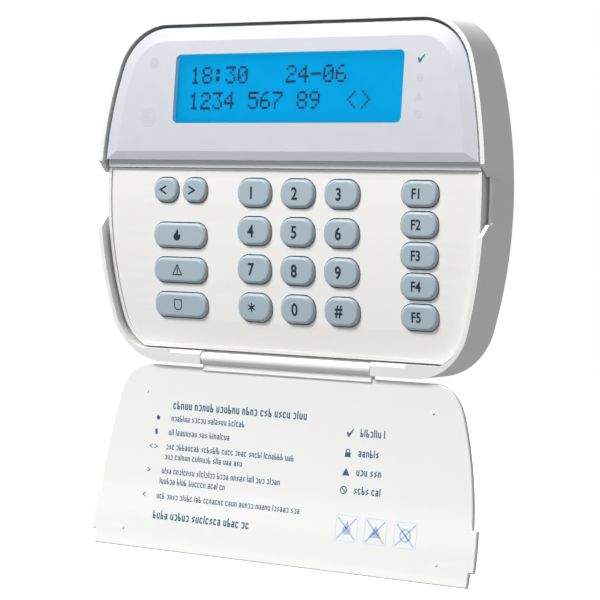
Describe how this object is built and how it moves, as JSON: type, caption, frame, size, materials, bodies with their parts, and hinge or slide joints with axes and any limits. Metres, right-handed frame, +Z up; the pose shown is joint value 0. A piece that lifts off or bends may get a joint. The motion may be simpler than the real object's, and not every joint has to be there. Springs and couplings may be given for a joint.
{
  "type": "alarm keypad panel",
  "caption": "Wall-mounted alarm keypad with a backlit text display above a rubber key field, and a drop-down cover hinged along the lower edge.",
  "frame": {"origin": "centre of the backplate's rear face, on the wall", "axes": "+X to the right, +Z up, and the front faces -Y, so +Y points into the wall"},
  "size_m": [0.153, 0.0208, 0.18],
  "materials": {
    "housing_plastic": "fine satin texture",
    "face_plastic": "fine satin texture",
    "bezel_plastic": "pearl satin",
    "key_rubber": "coated silicone",
    "mat_rubber": "silicone",
    "window_plastic": "clear polished",
    "lcd": "lit blue",
    "guide_plastic": "clear polished",
    "board": "solder mask",
    "component_black": "moulded",
    "tinned_metal": "tinned",
    "can_metal": "drawn",
    "carbon": "carbon loaded",
    "terminal_plastic": "moulded",
    "lamp": "clear moulded"
  },
  "bodies": {
    "housing": {"backplate": "housing_plastic", "front_shell": "housing_plastic", "keypad_plate": "face_plastic", "display_bezel": "bezel_plastic", "display_window": "window_plastic", "lcd_glass": "lcd", "lcd_frame": "tinned_metal", "lcd_backlight": "lamp", "lcd_board": "board", "lcd_header": "component_black", "main_board": "board", "key_mat": "mat_rubber", "contact_pads": "carbon", "key_leds": "lamp", "status_leds": "lamp", "light_guide": "guide_plastic", "sounder": "component_black", "controller_chip": "component_black", "capacitors": "can_metal", "regulator": "component_black", "crystal": "tinned_metal", "terminal_block": "terminal_plastic", "terminal_screws": "tinned_metal", "tamper_switch": "component_black", "board_screws": "tinned_metal"},
    "door": {"door": "housing_plastic"},
    "tamper_plunger": {"tamper_plunger": "guide_plastic"},
    "key_1": {"key_1": "key_rubber"},
    "key_2": {"key_2": "key_rubber"},
    "key_3": {"key_3": "key_rubber"},
    "key_4": {"key_4": "key_rubber"},
    "key_5": {"key_5": "key_rubber"},
    "key_6": {"key_6": "key_rubber"},
    "key_7": {"key_7": "key_rubber"},
    "key_8": {"key_8": "key_rubber"},
    "key_9": {"key_9": "key_rubber"},
    "key_star": {"key_star": "key_rubber"},
    "key_0": {"key_0": "key_rubber"},
    "key_hash": {"key_hash": "key_rubber"},
    "key_stay": {"key_stay": "key_rubber"},
    "key_away": {"key_away": "key_rubber"},
    "key_chime": {"key_chime": "key_rubber"},
    "key_bypass": {"key_bypass": "key_rubber"},
    "key_exit": {"key_exit": "key_rubber"},
    "key_fire": {"key_fire": "key_rubber"},
    "key_medical": {"key_medical": "key_rubber"},
    "key_panic": {"key_panic": "key_rubber"},
    "key_left": {"key_left": "key_rubber"},
    "key_right": {"key_right": "key_rubber"}
  },
  "joints": [
    {"name": "door_hinge", "type": "hinge", "parent": "housing", "child": "door", "pos_m": [0, -0.0139, -0.05585], "axis": [1, 0, 0], "range_deg": [-171, 0]},
    {"name": "tamper_slide", "type": "slide", "parent": "housing", "child": "tamper_plunger", "axis": [0, -1, 0], "range_m": [0, 0.0008], "stiffness_N_per_m": 150, "springref_m": -0.0008},
    {"name": "key_1_press", "type": "slide", "parent": "housing", "child": "key_1", "axis": [0, 1, 0], "range_m": [0, 0.001], "stiffness_N_per_m": 400, "springref_m": -0.0006},
    {"name": "key_2_press", "type": "slide", "parent": "housing", "child": "key_2", "axis": [0, 1, 0], "range_m": [0, 0.001], "stiffness_N_per_m": 400, "springref_m": -0.0006},
    {"name": "key_3_press", "type": "slide", "parent": "housing", "child": "key_3", "axis": [0, 1, 0], "range_m": [0, 0.001], "stiffness_N_per_m": 400, "springref_m": -0.0006},
    {"name": "key_4_press", "type": "slide", "parent": "housing", "child": "key_4", "axis": [0, 1, 0], "range_m": [0, 0.001], "stiffness_N_per_m": 400, "springref_m": -0.0006},
    {"name": "key_5_press", "type": "slide", "parent": "housing", "child": "key_5", "axis": [0, 1, 0], "range_m": [0, 0.001], "stiffness_N_per_m": 400, "springref_m": -0.0006},
    {"name": "key_6_press", "type": "slide", "parent": "housing", "child": "key_6", "axis": [0, 1, 0], "range_m": [0, 0.001], "stiffness_N_per_m": 400, "springref_m": -0.0006},
    {"name": "key_7_press", "type": "slide", "parent": "housing", "child": "key_7", "axis": [0, 1, 0], "range_m": [0, 0.001], "stiffness_N_per_m": 400, "springref_m": -0.0006},
    {"name": "key_8_press", "type": "slide", "parent": "housing", "child": "key_8", "axis": [0, 1, 0], "range_m": [0, 0.001], "stiffness_N_per_m": 400, "springref_m": -0.0006},
    {"name": "key_9_press", "type": "slide", "parent": "housing", "child": "key_9", "axis": [0, 1, 0], "range_m": [0, 0.001], "stiffness_N_per_m": 400, "springref_m": -0.0006},
    {"name": "key_star_press", "type": "slide", "parent": "housing", "child": "key_star", "axis": [0, 1, 0], "range_m": [0, 0.001], "stiffness_N_per_m": 400, "springref_m": -0.0006},
    {"name": "key_0_press", "type": "slide", "parent": "housing", "child": "key_0", "axis": [0, 1, 0], "range_m": [0, 0.001], "stiffness_N_per_m": 400, "springref_m": -0.0006},
    {"name": "key_hash_press", "type": "slide", "parent": "housing", "child": "key_hash", "axis": [0, 1, 0], "range_m": [0, 0.001], "stiffness_N_per_m": 400, "springref_m": -0.0006},
    {"name": "key_stay_press", "type": "slide", "parent": "housing", "child": "key_stay", "axis": [0, 1, 0], "range_m": [0, 0.001], "stiffness_N_per_m": 400, "springref_m": -0.0006},
    {"name": "key_away_press", "type": "slide", "parent": "housing", "child": "key_away", "axis": [0, 1, 0], "range_m": [0, 0.001], "stiffness_N_per_m": 400, "springref_m": -0.0006},
    {"name": "key_chime_press", "type": "slide", "parent": "housing", "child": "key_chime", "axis": [0, 1, 0], "range_m": [0, 0.001], "stiffness_N_per_m": 400, "springref_m": -0.0006},
    {"name": "key_bypass_press", "type": "slide", "parent": "housing", "child": "key_bypass", "axis": [0, 1, 0], "range_m": [0, 0.001], "stiffness_N_per_m": 400, "springref_m": -0.0006},
    {"name": "key_exit_press", "type": "slide", "parent": "housing", "child": "key_exit", "axis": [0, 1, 0], "range_m": [0, 0.001], "stiffness_N_per_m": 400, "springref_m": -0.0006},
    {"name": "key_fire_press", "type": "slide", "parent": "housing", "child": "key_fire", "axis": [0, 1, 0], "range_m": [0, 0.001], "stiffness_N_per_m": 400, "springref_m": -0.0006},
    {"name": "key_medical_press", "type": "slide", "parent": "housing", "child": "key_medical", "axis": [0, 1, 0], "range_m": [0, 0.001], "stiffness_N_per_m": 400, "springref_m": -0.0006},
    {"name": "key_panic_press", "type": "slide", "parent": "housing", "child": "key_panic", "axis": [0, 1, 0], "range_m": [0, 0.001], "stiffness_N_per_m": 400, "springref_m": -0.0006},
    {"name": "key_left_press", "type": "slide", "parent": "housing", "child": "key_left", "axis": [0, 1, 0], "range_m": [0, 0.001], "stiffness_N_per_m": 400, "springref_m": -0.0006},
    {"name": "key_right_press", "type": "slide", "parent": "housing", "child": "key_right", "axis": [0, 1, 0], "range_m": [0, 0.001], "stiffness_N_per_m": 400, "springref_m": -0.0006}
  ]
}
